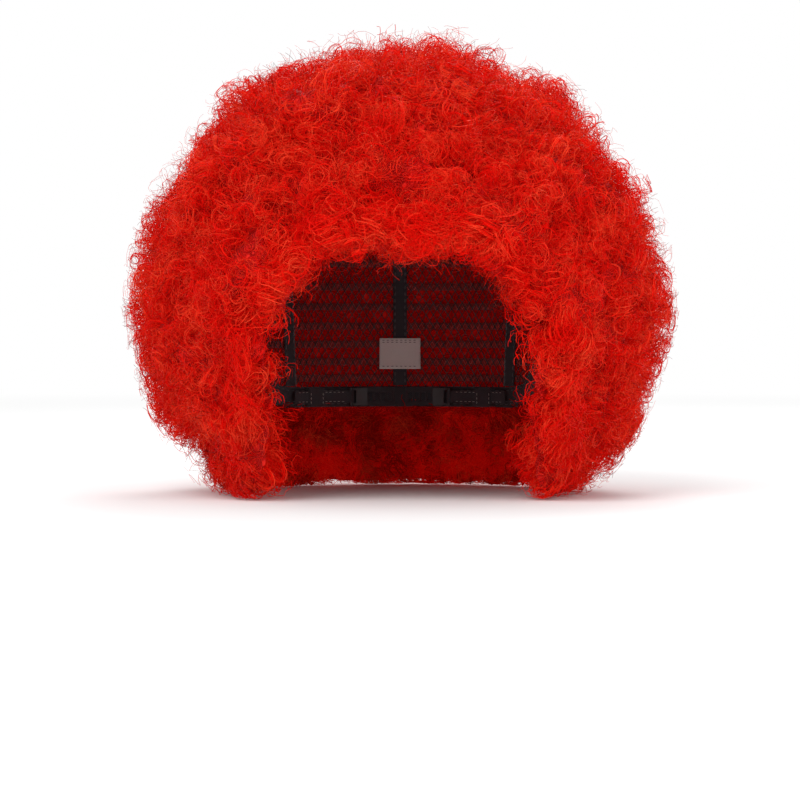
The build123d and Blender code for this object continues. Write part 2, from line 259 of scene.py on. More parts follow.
def moulded_material(name, base, light):
    """Moulded plastic: a fine grain, and worn patches that are lighter and duller."""
    m = Nodes(name)
    grain = m.noise(2600.0, 3.0)
    wear = m.noise(220.0, 5.0, 0.7)
    m.set(Base_Color=m.mix(m.math("MULTIPLY", wear, 0.7), base, light))
    m.set(Roughness=m.math("ADD", 0.25, m.math("MULTIPLY", wear, 0.3)))
    m.bump(grain, 0.2, 0.00008)
    return m.material


# Each look's dark, middle and light stops and its glow. The orange light stops of curl_hair and frizz_hair are
# painted highlights; the glow is painted light.
HAIR_TONES = {
    "curl_hair": ((0.50, 0.001, 0.0005), (0.67, 0.0025, 0.001), (0.84, 0.085, 0.030), 0.14),
    "frizz_hair": ((0.42, 0.002, 0.001), (0.66, 0.010, 0.004), (0.86, 0.095, 0.035), 0.08),
    # Painted shade: a darkened copy of the hair's look for the stray hairs, which stand against the white
    # backdrop with the light behind them.
    "shaded_stray_hair": ((0.08, 0.002, 0.001), (0.28, 0.003, 0.002), (0.60, 0.02, 0.01), 0.0),
    # Painted shade: a darker copy of the hair's look for the inside of the wig, with a weaker glow; its bright
    # orange top stop is a painted highlight.
    "shaded_inner_hair": ((0.10, 0.001, 0.0005), (0.42, 0.002, 0.001), (0.95, 0.10, 0.035), 0.02),
}
hair_look, frizz_look, shaded_wisp_look, shaded_inner_look = (hair_material(n, *tones) for n, tones in HAIR_TONES.items())
mass_look = mass_material()
elastic_look = woven_material("woven_elastic", (0.008, 0.007, 0.009), (0.045, 0.042, 0.050), 0.0011)
net_look = woven_material("net_cord", (0.010, 0.008, 0.010), (0.040, 0.035, 0.040), 0.0006)
weft_look = woven_material("weft_ribbon", (0.20, 0.003, 0.003), (0.46, 0.020, 0.015), 0.0008)
lining_look = woven_material("brushed_lining", (0.30, 0.16, 0.11), (0.52, 0.33, 0.25), 0.0007, 0.9, 0.5)
tab_look = woven_material("tab_cloth", (0.012, 0.010, 0.012), (0.060, 0.052, 0.058), 0.0008)
label_look = woven_material("label_satin", (0.70, 0.68, 0.63), (0.86, 0.85, 0.81), 0.0005, 0.45, 0.1, 0.2)
thread_look = woven_material("thread", (0.05, 0.045, 0.05), (0.16, 0.15, 0.16), 0.0003, 0.6)
red_thread_look = woven_material("red_thread", (0.42, 0.01, 0.008), (0.70, 0.05, 0.03), 0.0003, 0.6)
pale_thread_look = woven_material("pale_thread", (0.50, 0.48, 0.44), (0.75, 0.73, 0.68), 0.0003, 0.6)
plastic_look = moulded_material("black_plastic", (0.010, 0.010, 0.011), (0.040, 0.040, 0.042))


# ---------------- meshes from arrays


def make_mesh(name, points, quads, material, uv, uv_name="Weave", shade=None):
    """An object from points in millimetres, quads, each quad corner's uv and perhaps each point's tone."""
    mesh = bpy.data.meshes.new(name)
    quads = np.asarray(quads, dtype=np.int32)
    mesh.vertices.add(len(points))
    mesh.vertices.foreach_set("co", (np.asarray(points) * MM).astype(np.float32).ravel())
    mesh.loops.add(quads.size)
    mesh.loops.foreach_set("vertex_index", quads.ravel())
    mesh.polygons.add(len(quads))
    mesh.polygons.foreach_set("loop_start", np.arange(0, quads.size, quads.shape[1], dtype=np.int32))
    mesh.polygons.foreach_set("use_smooth", np.ones(len(quads), bool))
    mesh.update(calc_edges=True)
    layer = mesh.uv_layers.new(name=uv_name)
    layer.data.foreach_set("uv", np.asarray(uv, dtype=np.float32).ravel())
    if shade is not None:
        layer = mesh.attributes.new("shade", "FLOAT", "POINT")
        layer.data.foreach_set("value", np.asarray(shade, dtype=np.float32))
    mesh.materials.append(material)
    return linked(name, mesh)


def points_of(mesh):
    """A mesh's points, in millimetres."""
    points = np.empty(len(mesh.vertices) * 3, np.float32)
    mesh.vertices.foreach_get("co", points)
    return points.reshape(-1, 3) / MM


def applied(piece):
    """A piece's mesh with its modifiers applied, smooth, put back on the piece."""
    shown = piece.evaluated_get(bpy.context.evaluated_depsgraph_get())
    mesh = bpy.data.meshes.new_from_object(shown)
    piece.modifiers.clear()
    piece.data = mesh
    mesh.name = piece.name
    mesh.polygons.foreach_set("use_smooth", np.ones(len(mesh.polygons), bool))
    return mesh


def tubes(paths, radii, side_hint, sides=3):
    """Open-ended tubes along many paths at once: points, quads and each quad corner's uv.

    paths is (tubes, points, 3), radii is (tubes, points), and side_hint is any direction off the path.
    """
    count, steps = radii.shape
    along = unit(np.gradient(paths, axis=1))
    first = unit(np.cross(along, side_hint))
    second = np.cross(along, first)
    turn = np.arange(sides) * TAU / sides
    ring = first[:, :, None] * np.cos(turn)[:, None] + second[:, :, None] * np.sin(turn)[:, None]
    points = (paths[:, :, None] + ring * radii[:, :, None, None]).reshape(-1, 3)
    tube, step, side = np.meshgrid(np.arange(count), np.arange(steps - 1), np.arange(sides), indexing="ij")
    base = (tube * steps + step) * sides
    after = (side + 1) % sides
    quads = np.stack([base + side, base + sides + side, base + sides + after, base + after], -1)
    quads = quads.reshape(-1, 4)
    cells = math.ceil(math.sqrt(count))
    u0, v0 = tube % cells, tube // cells
    u = np.stack([side, side, side + 1, side + 1], -1) / sides * 0.9
    v = np.stack([step, step + 1, step + 1, step], -1) / (steps - 1) * 0.9
    uv = np.stack([(u0[..., None] + 0.05 + u) / cells, (v0[..., None] + 0.05 + v) / cells], -1)
    return points, quads, uv.reshape(-1, 2)


def sheet_quads(rows, columns):
    """Quads of a thin closed sheet: two grids of points, one behind the other, joined round the rim."""
    back = rows * columns
    quads = []
    for i in range(rows - 1):
        for j in range(columns - 1):
            a = i * columns + j
            b = a + columns
            quads.append((a, a + 1, b + 1, b))
            quads.append((a + back, b + back, b + 1 + back, a + 1 + back))
    rim = list(range(columns)) + [i * columns + columns - 1 for i in range(1, rows)]
    rim += [(rows - 1) * columns + j for j in range(columns - 2, -1, -1)]
    rim += [i * columns for i in range(rows - 2, 0, -1)]
    for a, b in zip(rim, rim[1:] + rim[:1]):
        quads.append((a, a + back, b + back, b))
    return np.array(quads)


# ---------------- the mass of hair behind the curls


def dome_radius(z):
    """How far the cap's inner face is from its axis at a height."""
    return np.where(
        z >= CENTRE[2],
        np.sqrt(np.maximum(DOME_RADIUS**2 - (z - CENTRE[2]) ** 2, 1e-6)),
        DOME_RADIUS - TAPER * (CENTRE[2] - z),
    )


def face_edge(x):
    """The height of the face opening's upper edge."""
    slope = (FACE_TOP_Z - SHOULDER[1]) / (FACE_HALF_WIDTH - SHOULDER[0])
    return FACE_TOP_Z - np.maximum(np.abs(x) - SHOULDER[0], 0) * slope


def in_face(x, y, z):
    """How far inside the face opening a point is: positive inside."""
    low = np.minimum(FACE_HALF_WIDTH - np.abs(x), face_edge(x) - z)
    return np.minimum(low, -y)


def swell(way):
    """How far the bush's surface lies outside its ball in each direction: lumps, lower at top and foot."""
    lumps = 13.0 * noise_at(way, 3.1) + 10.0 * noise_at(way, 7.3)
    up = way[:, 2]
    top, foot = np.clip(up / 0.6, 0, 1), np.clip((-up - 0.5) / 0.2, 0, 1)
    return np.clip(lumps - 3.5 - 9.0 * top - 6.0 * foot, -16, 3)


def joined_hair():
    """All the hair's CAD solids as one closed skin."""
    mesh = bpy.data.meshes.new("hair_mass")
    work = bmesh.new()
    for name in HAIR_ROWS + ["hair_fringe"]:
        work.from_mesh(frame["nodes"][name].data)
    work.to_mesh(mesh)
    work.free()
    piece = linked("hair_mass", mesh)
    remesh = piece.modifiers.new("skin", "REMESH")
    remesh.mode = "VOXEL"
    remesh.voxel_size = 0.0028
    return piece


def drawn_in(points, lump):
    """The skin's points moved towards the cap: the outermost most, the inner face not at all."""
    out = points - CENTRE
    reach = np.linalg.norm(out, axis=1)
    way = out / reach[:, None]
    below = out[:, 2] < 0
    inner = np.where(below, dome_radius(np.minimum(points[:, 2], CENTRE[2])), DOME_RADIUS) + HAIR_ROOT
    outer = np.where(below, np.sqrt(BUSH_RADIUS**2 - np.minimum(out[:, 2], 0) ** 2), BUSH_RADIUS)
    thick = outer - inner
    from_axis = np.where(below, np.hypot(out[:, 0], out[:, 1]), reach)
    share = np.clip(((from_axis - inner) / thick - 0.25) / 0.75, 0, 1)
    depth = np.minimum(13.0 - swell(way) - 4.0 * lump, 0.55 * thick)
    return points - way * (share * depth)[:, None], below, inner


def opened(points, lump, below, inner):
    """Those points moved clear of the face opening, the wearer's neck and the resting plane."""
    rough = 2.5 * lump
    hem = np.interp(points[:, 1], *np.array(HEM, float).T)
    from_axis = np.hypot(points[:, 0], points[:, 1])
    bare = below & (from_axis - inner < 5) & (points[:, 2] < hem - 3)
    points[bare, :2] *= (1 + (5.0 + rough[bare]) / from_axis[bare])[:, None]
    low = points[:, 2] < 30
    points[low, 2] = np.maximum(points[low, 2] * 0.9 + 2.5, 3.0 + 1.5 * lump[low])
    x, y, z = points.T
    wall = (np.abs(x) < FACE_HALF_WIDTH + 8) & (y < -45) & (z < SHOULDER[1])
    points[wall, 0] += np.sign(points[wall, 0]) * (8.0 + rough[wall])
    fringe = (np.abs(x) < FACE_HALF_WIDTH - 4) & (y < FRINGE_BACK_Y)
    under = fringe & (z > SHOULDER[1]) & (z < FACE_TOP_Z + 10)
    points[under, 2] += 6.5 + rough[under]
    return points


def make_mass():
    """The hair behind the curls: the CAD's skin drawn inwards and pushed into lumps."""
    piece = joined_hair()
    mesh = applied(piece)
    points = points_of(mesh)
    lump = noise_at(points, 0.085) + 0.5 * noise_at(points, 0.21)
    points, below, inner = drawn_in(points, lump)
    points = opened(points, lump, below, inner)
    mesh.vertices.foreach_set("co", (points * MM).astype(np.float32).ravel())
    mesh.materials.clear()
    mesh.materials.append(mass_look)
    mesh.update()
    assign(piece, "cap")


# ---------------- places for the hair


def row_of(angle):
    """The number of the row of hair at an angle above the centre's level, in degrees."""
    return np.clip(np.searchsorted(ROW_LIMITS, angle, side="right"), 1, len(TRACK_ANGLES))


def outside_points(count):
    """Places over the outside of the bush: where, the way out, how far out the hair stands, and its row.

    Row 0 is the fringe.
    """
    low = math.sin(math.radians(FOOT_ANGLE + 1.5))
    up = rng.uniform(low, 1.0, count)
    azimuth = rng.uniform(0, TAU, count)
    flat = np.sqrt(1 - up * up)
    way = np.stack([flat * np.cos(azimuth), flat * np.sin(azimuth), up], -1)
    place = CENTRE + way * BUSH_RADIUS
    angle = np.degrees(np.arcsin(up))
    x, y, z = place.T
    keep = in_face(x, y, z) < -6.5
    row = row_of(angle)
    front = (np.abs(x) < FACE_HALF_WIDTH) & (y < FRINGE_BACK_Y) & (angle < FRINGE_TOP_ANGLE)
    row = np.where(front, 0, row)
    return place[keep], way[keep], swell(way[keep]), row[keep]


def tufts(x):
    """How far the fringe hangs below its own edge, in uneven tufts."""
    return 1.5 + 2.6 * np.sin(x * 0.21 + 0.8) * np.sin(x * 0.083 + 2.0) + 1.4 * np.sin(x * 0.47)


def wall_places(count):
    """The two walls of the face opening, which look inwards and a little forwards."""
    side = rng.choice([-1.0, 1.0], count)
    y, z = rng.uniform(-134, -60, count), rng.uniform(3, 96, count)
    place = np.stack([side * (FACE_HALF_WIDTH + rng.uniform(4, 9, count)), y, z], -1)
    return place, unit(np.stack([-side, np.full(count, -0.35), np.zeros(count)], -1))


def fringe_places(count):
    """The fringe's underside, thickest at its front edge."""
    x = rng.uniform(-FACE_HALF_WIDTH, FACE_HALF_WIDTH, count)
    z = face_edge(x) + 4.5
    front = -np.sqrt(BUSH_RADIUS**2 - (z - CENTRE[2]) ** 2 - x * x)
    y = front + 2.0 + 58.0 * rng.uniform(0, 1, count) ** 1.8
    place = np.stack([x, y, z - tufts(x)], -1)
    lean = -0.3 * np.sign(x) * (np.abs(x) > SHOULDER[0])
    return place, unit(np.stack([lean, np.full(count, -0.35), np.full(count, -1.0)], -1))


def foot_places(count):
    """The lowest hair, round the sides and the back."""
    azimuth = rng.uniform(-0.31 * math.pi, 1.31 * math.pi, count)
    r = rng.uniform(90, 108, count)
    place = np.stack([r * np.cos(azimuth), r * np.sin(azimuth), rng.uniform(4, 12, count)], -1)
    return place, unit(np.stack([0.5 * np.cos(azimuth), 0.5 * np.sin(azimuth), np.full(count, -0.5)], -1))


def inner_places(count):
    """The hair's inner face where it hangs below the cap, over the ears and behind the neck."""
    azimuth = rng.uniform(-0.27 * math.pi, 1.27 * math.pi, count)
    hem = np.interp(DOME_RADIUS * np.sin(azimuth), *np.array(HEM, float).T)
    z = 3.0 + (hem - 9.0) * rng.uniform(0, 1, count)
    r = dome_radius(z) + HAIR_ROOT
    place = np.stack([r * np.cos(azimuth), r * np.sin(azimuth), z], -1)
    return place, unit(np.stack([-np.cos(azimuth), -np.sin(azimuth), np.full(count, -0.4)], -1))


def opening_points(walls, fringe, foot, inner):
    """Places round the wig's openings, as outside_points gives them, from a count for each kind.

    None is by an ear tab or in the way of the view through the face opening.
    """
    kinds = [wall_places(walls), fringe_places(fringe), foot_places(foot), inner_places(inner)]
    place, way = (np.concatenate(part) for part in zip(*kinds))
    rise = np.repeat([0.5, 1.0, 1.0, 3.5], [walls, fringe, foot, inner])
    reach = np.linalg.norm(place - CENTRE, axis=1)
    row = row_of(np.degrees(np.arcsin((place[:, 2] - CENTRE[2]) / reach)))
    row[walls:walls + fringe] = 0
    x, y, z = place.T
    by_tab = (z > 68) & (np.abs(y + 36) < 18) & (np.hypot(x, y) < 100)
    in_view = (np.abs(x) < FACE_HALF_WIDTH + 3) & (y < -30) & (z < SHOULDER[1])
    keep = (reach < BUSH_RADIUS - 1) & ~by_tab & ~in_view
    return place[keep], way[keep], rise[keep], row[keep]


def hair_points(outside, walls=0, fringe=0, foot=0, inner=0):
    """Places for hair, outside and round the openings: where, the way out, how far out and the row."""
    both = zip(outside_points(outside), opening_points(walls, fringe, foot, inner))
    return (np.concatenate(part) for part in both)


# ---------------- strands of hair


def tame(paths, limit):
    """Draws strands back towards a ball of radius limit, and turns them up from the resting plane."""
    out = paths - CENTRE
    reach = np.linalg.norm(out, axis=-1, keepdims=True)
    paths = np.where(reach > limit, CENTRE + out / reach * (limit + (reach - limit) * 0.25), paths)
    z = paths[..., 2]
    paths[..., 2] = np.where(z < 1.0, 1.0 + (1.0 - z) * 0.7, z)
    return paths


def cross_frame(axis):
    """Two unit directions square to each axis."""
    helper = np.where(np.abs(axis[:, 2:3]) > 0.8, np.array([[1.0, 0, 0]]), np.array([[0, 0, 1.0]]))
    u = unit(np.cross(axis, helper))
    return u, np.cross(axis, u)


def coils(start, axis, shift, u, v, angle, ring):
    """Paths that shift along an axis from a start while they turn in the plane of u and v."""
    return (
        start[:, None]
        + axis[:, None] * shift[..., None]
        + u[:, None] * (np.cos(angle) * ring)[..., None]
        + v[:, None] * (np.sin(angle) * ring)[..., None]
    )


def column(low, high, n):
    """A random value for each of n strands, as a column."""
    return rng.uniform(low, high, n)[:, None]


def hands(n):
    """Which way each of n strands turns, as a column."""
    return rng.choice([-1.0, 1.0], n)[:, None]


def waves(s, rate, n):
    """A sine along each of n strands, each from its own phase."""
    return np.sin(rate * s + column(0, TAU, n))


FIBRES = 7  # strands in a lock
STEPS = 20  # points along a curled strand
NEAT_SHARE = 0.15  # the share of the locks that stay neat


def curl_paths(place, way, rise):
    """The strands of a corkscrew at each place, and a hint of their axes. Some locks stay neat, most fray."""
    n = len(place)
    axis = unit(way + rng.normal(0, 0.45, (n, 3)))
    u, v = cross_frame(axis)
    radius = rng.uniform(2.6, 6.0, n)
    turns = column(1.5, 2.7, n)
    length = column(12, 22, n)
    hand = hands(n)
    phase = column(0, TAU, n)
    fray = np.where(rng.random(n) < NEAT_SHARE, 0.5, 1.5) * rng.uniform(0.7, 1.3, n)
    tip = place + way * (rise + rng.uniform(-6.5, 1.0, n))[:, None]
    s = np.linspace(0, 1, STEPS)
    shape = 0.66 + 0.46 * np.sin(np.pi * np.clip(s * 0.95 + 0.02, 0, 1))
    paths = np.empty((n, FIBRES, STEPS, 3))
    for k in range(FIBRES):
        r = radius * (1 + fray * rng.normal(0, 0.17, n))
        slide = rng.normal(0, 1.5, n) * fray
        lean = unit(axis + rng.normal(0, 0.16, (n, 3)) * fray[:, None])
        bend = fray[:, None] * 0.45 * waves(TAU * s * column(0.8, 2.6, n), 1, n)
        stray = (fray * rng.normal(0, 0.35, n))[:, None]
        angle = phase + hand * TAU * turns * s + stray + bend
        ring = r[:, None] * shape * (1 + 0.10 * fray[:, None] * waves(s, 23, n))
        shift = (s - 1) * length + slide[:, None]
        paths[:, k] = coils(tip, lean, shift, u, v, angle, ring)
    paths += rng.normal(0, 0.22, paths.shape) * fray[:, None, None, None]
    hint = np.broadcast_to(axis[:, None, None], paths.shape)
    return paths.reshape(-1, STEPS, 3), hint.reshape(-1, STEPS, 3)


def frizz_paths(place, way, rise):
    """Single loose strands: half stand out of the curls, half lie across them."""
    n, steps = len(place), 15
    lying = rng.random(n) < 0.5
    axis = unit(way + rng.normal(0, 1, (n, 3)) * np.where(lying, 1.5, 0.55)[:, None])
    u, v = cross_frame(axis)
    s = np.linspace(0, 1, steps)
    radius = column(1.2, 5.0, n)
    turns = column(0.7, 2.0, n)
    length = column(7, 17, n)
    angle = column(0, TAU, n) + hands(n) * TAU * turns * s
    ring = radius * (0.4 + s)
    depth = np.where(lying, rng.uniform(0, 5, n), rng.uniform(7, 11, n))
    start = place + way * (rise - depth)[:, None]
    paths = coils(start, axis, s * length, u, v, angle, ring)
    paths += rng.normal(0, 0.15, paths.shape)
    return paths, np.broadcast_to(axis[:, None], paths.shape)


def loop_paths(place, way, rise):
    """Open loops, two strands each, that stand up from the bush so that light shows through them."""
    n, steps = len(place), 18
    axis = unit(np.cross(way, rng.normal(0, 1, (n, 3))) + 0.35 * rng.normal(0, 1, (n, 3)))
    u, v = cross_frame(axis)
    s = np.linspace(0, 1, steps)
    radius = rng.uniform(2.2, 7.0, n)
    turn = column(0, TAU, n) + TAU * column(0.85, 1.5, n) * s
    middle = place + way * (rise + rng.uniform(-5.0, 1.0, n))[:, None]
    drift = (s - 0.5) * column(-7, 7, n)
    paths = np.empty((n, 2, steps, 3))
    for k in range(2):
        ring = (radius + rng.normal(0, 0.25, n))[:, None] * (1 + 0.12 * waves(s, TAU, n))
        paths[:, k] = coils(middle, axis, drift, u, v, turn, ring)
    hint = np.broadcast_to(axis[:, None, None], paths.shape)
    return paths.reshape(-1, steps, 3), hint.reshape(-1, steps, 3)


def wisp_paths(place, way, rise):
    """Fine stray hairs beyond the loops."""
    n, steps = len(place), 9
    axis = unit(way + rng.normal(0, 0.5, (n, 3)))
    u, v = cross_frame(axis)
    s = np.linspace(0, 1, steps)
    bow = column(1.0, 3.5, n)
    turn = column(0, TAU, n) + column(-4, 4, n) * s
    start = place + way * (rise - 4.0)[:, None]
    paths = coils(start, axis, s * column(6, 14, n), u, v, turn, bow)
    return paths, np.broadcast_to(axis[:, None], paths.shape)


def strands(name, paths, hint, girth, shade, material, node=None):
    """One piece of hair from many strands, with a girth and a tone at each point of each strand."""
    points, quads, uv = tubes(paths, girth, hint)
    shade = np.repeat(np.clip(shade, 0, 1)[:, :, None], 3, axis=2)
    piece = make_mesh(name, points, quads, material, uv, "OFBake", shade.ravel())
    assign(piece, "cap", node)


def lock_tones(count, shared):
    """A tone for each of count strands, of which a share is common to its lock."""
    lock = np.repeat(rng.uniform(0, 1, count // FIBRES), FIBRES)
    return (shared * lock + (1 - shared) * rng.uniform(0, 1, count))[:, None]


def make_curls():
    """The locks of each row and of the fringe, thinner at their tips and lighter there."""
    place, way, rise, row = hair_points(3650, 230, 250, 300, 330)
    s = np.linspace(0, 1, STEPS)
    taper = 1 - 0.55 * np.clip((s - 0.82) / 0.18, 0, 1)
    for number, node in enumerate(HAIR_NODES):
        mine = row == number
        paths, hint = curl_paths(place[mine], way[mine], rise[mine])
        paths = tame(paths, BUSH_RADIUS + 0.5)
        girth = column(0.12, 0.21, len(paths)) * taper
        # The tone grows lighter from root to tip: painted shade on the roots, deep in the bush.
        tone = lock_tones(len(paths), 0.35) * 0.66 + 0.34 * s
        strands(f"curls_{node}", paths, hint, girth, tone, hair_look, node)


def make_frizz():
    """Loose strands all over the bush, in three pieces by height."""
    place, way, rise, row = hair_points(7600, 150, 330, 130, 160)
    for part, mine in (("upper", row >= 9), ("middle", (row >= 5) & (row < 9)), ("lower", row < 5)):
        paths, hint = frizz_paths(place[mine], way[mine], rise[mine])
        paths = tame(paths, BUSH_RADIUS + 2.5)
        count, steps = paths.shape[:2]
        s = np.linspace(0, 1, steps)
        girth = column(0.10, 0.16, count) * (1 - 0.5 * s)
        # The tone grows lighter from root to tip: painted shade on the roots.
        strands(f"frizz_{part}", paths, hint, girth, column(0, 1, count) * 0.6 + 0.3 * s, frizz_look)


def make_loops():
    """Open loops, none so low that the resting plane would flatten it."""
    place, way, rise, _ = hair_points(1900, 30, 60)
    high = place[:, 2] > 14
    paths, hint = loop_paths(place[high], way[high], rise[high])
    paths = tame(paths, BUSH_RADIUS + 2.0)
    count, steps = paths.shape[:2]
    level = np.zeros(steps)
    tone = column(0.1, 0.7, count) + level
    strands("loops", paths, hint, column(0.13, 0.22, count) + level, tone, hair_look)


def make_wisps():
    """Fine stray hairs, thinner towards their ends, in a darkened copy of the hair's look: painted shade, as
    for hairs with the light behind them.
    """
    place, way, rise, _ = hair_points(4600, 40, 190, 40)
    paths, hint = wisp_paths(place, way, rise)
    paths = tame(paths, BUSH_RADIUS + 4.0)
    count, steps = paths.shape[:2]
    tone = column(0, 1, count) + np.zeros(steps)
    girth = column(0.10, 0.15, count) * np.linspace(1.0, 0.6, steps)
    strands("wisps", paths, hint, girth, tone, shaded_wisp_look)


def make_inner_curls():
    """Locks on the hair's inner face below the cap, standing out in lumps, in a darker copy of the hair's
    look: painted shade inside the wig.
    """
    place, way, rise, _ = opening_points(0, 0, 0, 420)
    paths, hint = curl_paths(place, way, rise + 1.5 + 7.0 * noise_at(place, 0.07))
    paths = tame(paths, BUSH_RADIUS)
    s = np.linspace(0, 1, STEPS)
    # The tone grows lighter from root to tip here too: painted shade on the roots.
    tone = lock_tones(len(paths), 0.75) * 0.7 + 0.3 * s
    strands("curls_inside", paths, hint, column(0.16, 0.27, len(paths)) + 0 * s, tone, shaded_inner_look)


make_mass()
make_curls()
make_frizz()
make_loops()
make_wisps()
make_inner_curls()


# ---------------- the cap's cloth


def seat(azimuth, z, height):
    """Places on the cap at azimuth, z and a height above the dome."""
    r = dome_radius(z)
    flat = np.stack([r * np.cos(azimuth), r * np.sin(azimuth), z + 0 * azimuth], -1)
    out = np.stack([flat[..., 0], flat[..., 1], np.maximum(z - CENTRE[2], 0) + 0 * azimuth], -1)
    return flat + unit(out) * np.asarray(height)[..., None]


def z_at(elevation):
    """The height of a place on the dome at an angle above the centre's level, in radians."""
    return CENTRE[2] + DOME_RADIUS * np.where(elevation >= 0, np.sin(elevation), elevation)


def cloth(name, azimuth, z, layer, material, node, pucker, closed=False):
    """A strip of cloth over a grid (along, across) of places on the cap, soft-edged and slightly puckered."""
    n, m = azimuth.shape
    middle, half = (layer[0] + layer[1]) / 2, (layer[1] - layer[0]) / 2
    t = np.linspace(-1, 1, m)
    along = np.arange(n)[:, None]
    soft = half * np.sqrt(np.clip(1 - np.abs(t) ** 5, 0.02, 1))[None, :] + 0 * along
    wave = pucker * (np.sin(along * 0.9) * 0.5 + np.sin(along * 2.3 + t * 3) * 0.5)
    top = seat(azimuth, z, middle + soft + wave)
    low = seat(azimuth, z, middle - soft + wave)
    ring = np.concatenate([top, low[:, ::-1]], axis=1)
    width = 2 * m
    points = ring.reshape(-1, 3)
    step, side = np.meshgrid(np.arange(n - (0 if closed else 1)), np.arange(width), indexing="ij")
    ahead, after = (step + 1) % n, (side + 1) % width
    here, there = step * width, ahead * width
    quads = np.stack([here + side, here + after, there + after, there + side], -1).reshape(-1, 4)
    if not closed:
        for end, order in ((0, 1), (n - 1, -1)):
            rows = [[end * width + i, end * width + width - 1 - i] for i in range(m)]
            caps = [[a[0], a[1], b[1], b[0]][::order] for a, b in zip(rows, rows[1:])]
            quads = np.concatenate([quads, np.array(caps)])
    breadth = np.linalg.norm(top[n // 2, -1] - top[n // 2, 0])
    u = np.repeat(run_length(top[:, m // 2])[:, None], width, 1).ravel()
    v = np.tile(np.concatenate([(t + 1) / 2, (t[::-1] + 1) / 2]) * breadth, n)
    uv = np.stack([u, v], -1)[quads.ravel()]
    assign(make_mesh(name, points, quads, material, uv), "cap", node)


def soften(node, voxel, material, body, rounds=3):
    """A cloth piece made from a CAD solid: skinned finely, then eased so that its edges are soft."""
    mesh = frame["nodes"][node].data.copy()
    mesh.materials.clear()
    piece = linked("soft_" + node, mesh)
    skin = piece.modifiers.new("skin", "REMESH")
    skin.mode = "VOXEL"
    skin.voxel_size = voxel * MM
    ease = piece.modifiers.new("ease", "SMOOTH")
    ease.factor = 0.5
    ease.iterations = rounds
    done = applied(piece)
    points = points_of(done)
    index = np.empty(len(done.loops), np.int32)
    done.loops.foreach_get("vertex_index", index)
    azimuth = np.arctan2(points[:, 1], points[:, 0])
    uv = np.stack([np.where(azimuth < -math.pi / 2, azimuth + TAU, azimuth) * DOME_RADIUS, points[:, 2]], -1)
    while done.uv_layers:
        done.uv_layers.remove(done.uv_layers[0])
    done.uv_layers.new(name="Weave").data.foreach_set("uv", uv[index].astype(np.float32).ravel())
    done.materials.clear()
    done.materials.append(material)
    assign(piece, body, node)


def inset_hem(inset):
    """The hem's corners moved inwards from the hem, as (y, z)."""
    points = np.array(HEM, float)
    ways = unit(np.diff(points, axis=0))
    normals = np.stack([-ways[:, 1], ways[:, 0]], -1)
    moved = [points[0] + normals[0] * inset]
    for i in range(1, len(points) - 1):
        bisector = unit(normals[i - 1] + normals[i])
        moved.append(points[i] + bisector * inset / (bisector @ normals[i]))
    moved.append(points[-1] + normals[-1] * inset)
    return np.array(moved)


def hem_line(inset, y_range, steps, side):
    """Places along the hem at an inset, as azimuth and z, for y from y_range[0] to y_range[1]."""
    line = inset_hem(inset)
    dense = np.linspace(line[0, 0], line[-1, 0], 1200)
    height = np.interp(dense, line[:, 0], line[:, 1])
    window = 2 * int(HEM_CORNER / 3 / (dense[1] - dense[0])) + 1
    padded = np.pad(height, window // 2, mode="edge")
    height = np.convolve(padded, np.ones(window) / window, "valid")
    front, back = (np.interp(y, dense, height) for y in (-80.0, 88.0))
    first = max(y_range[0], -float(dome_radius(front)))
    last = min(y_range[1], float(dome_radius(back)))
    reach = 0.5 * (float(dome_radius(front)) + float(dome_radius(back)))
    turn = np.linspace(math.asin(max(first / reach, -1)), math.asin(min(last / reach, 1)), steps * 4)
    y = np.clip(np.sin(turn) * reach, first, last)
    z = np.interp(y, dense, height)
    r = dome_radius(z)
    x = np.sqrt(np.maximum(r * r - y * y, 0))
    path = np.stack([x, y, z], -1)
    run = run_length(path)
    even = np.linspace(0, run[-1], steps)
    x, y, z = (np.interp(even, run, path[:, i]) for i in range(3))
    return np.arctan2(y, side * x), z


def stitches(name, lines, body, material=thread_look, length=2.4, gap=1.5, radius=0.24):
    """Short raised threads along lines of places, each line an array of points in millimetres."""
    paths = []
    for line in lines:
        run = run_length(line)
        for start in np.arange(gap, run[-1] - length, length + gap):
            at = start + np.linspace(0, length, 5)
            paths.append(np.stack([np.interp(at, run, line[:, i]) for i in range(3)], -1))
    paths = np.array(paths)
    hint = np.broadcast_to(unit(CENTRE - paths[:, 2])[:, None], paths.shape)
    girth = np.broadcast_to(radius * np.array([0.25, 0.9, 1.0, 0.9, 0.25]), paths.shape[:2])
    points, quads, uv = tubes(paths, girth, hint, 6)
    assign(make_mesh(name, points, quads, material, uv), body)


def above_hem(azimuth, climb, inset):
    """The first of the climbing angles from which a line at that azimuth stays above the hem's inset line."""
    line = inset_hem(inset)
    z = z_at(climb)
    y = dome_radius(z) * np.sin(azimuth)
    under = np.nonzero(z <= np.interp(y, line[:, 0], line[:, 1]))[0]
    return climb[under.max() + 1] if len(under) else climb[0]


LOWEST_CLIMB = -0.7  # an angle below any place on the hem, in radians


